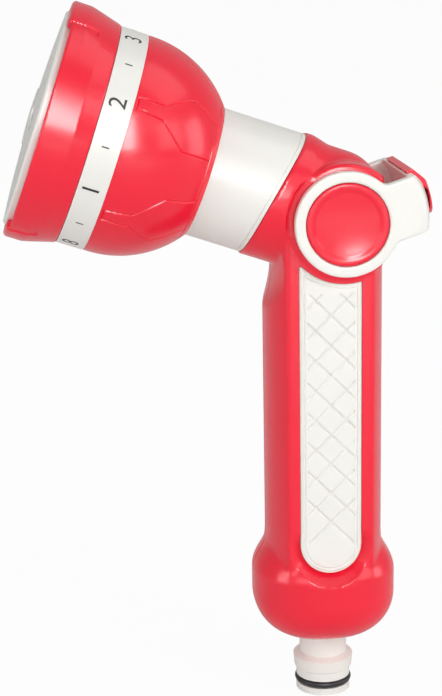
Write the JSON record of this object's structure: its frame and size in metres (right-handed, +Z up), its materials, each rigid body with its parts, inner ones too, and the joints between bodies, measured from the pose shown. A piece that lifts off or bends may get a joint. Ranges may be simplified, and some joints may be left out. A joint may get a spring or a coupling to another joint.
{
  "type": "watering wand",
  "caption": "Hose spray gun with a turning dial head on a leaning neck, an upright grip, a U-shaped thumb lever and a click-fit hose spigot at the foot.",
  "frame": {"origin": "centre of the hose spigot's lower end", "axes": "+Z up the grip, -X the way the spray head points, -Y the left-hand side"},
  "size_m": [0.113, 0.0616, 0.1927],
  "materials": {
    "red_plastic": "gloss",
    "white_plastic": "satin gloss",
    "white_soft": "soft matt",
    "black_rubber": "matt",
    "grey_plastic": "matt",
    "slippery_plastic": "matt",
    "steel": "plain"
  },
  "bodies": {
    "body": {"left_shell": "red_plastic", "right_shell": "red_plastic", "shell_screws": "steel", "left_grip_panel": "white_soft", "right_grip_panel": "white_soft", "neck_barrel": "white_plastic", "neck_bulkhead": "grey_plastic", "bulkhead_seal": "black_rubber", "valve_body": "grey_plastic", "valve_seats": "slippery_plastic", "handle_tube": "grey_plastic", "tube_seals": "black_rubber", "inlet_connector": "white_plastic", "inlet_o_ring": "black_rubber", "port_seal": "black_rubber", "port_spring": "steel", "detent_ball": "steel", "detent_spring": "steel", "dial_screw": "steel", "dial_washer": "steel"},
    "lever": {"lever_yoke": "white_plastic", "thumb_pad": "red_plastic", "left_hub_cap": "red_plastic", "right_hub_cap": "red_plastic", "hub_screws": "steel", "valve_plug": "grey_plastic", "plug_o_rings": "black_rubber"},
    "dial": {"head_dome": "red_plastic", "label_band": "white_plastic", "rim_ring": "red_plastic", "face_plate": "white_plastic", "face_cap": "white_plastic", "face_gasket": "black_rubber", "water_manifold": "grey_plastic", "dial_bush": "slippery_plastic"}
  },
  "joints": [
    {"name": "lever_swing", "type": "hinge", "parent": "body", "child": "lever", "pos_m": [0.004, 0, 0.1358], "axis": [0, -1, 0], "range_deg": [0, 55]},
    {"name": "dial_turn", "type": "hinge", "parent": "body", "child": "dial", "pos_m": [0.004, 0, 0.1358], "axis": [-0.9435, 0, 0.3313], "continuous": true}
  ]
}
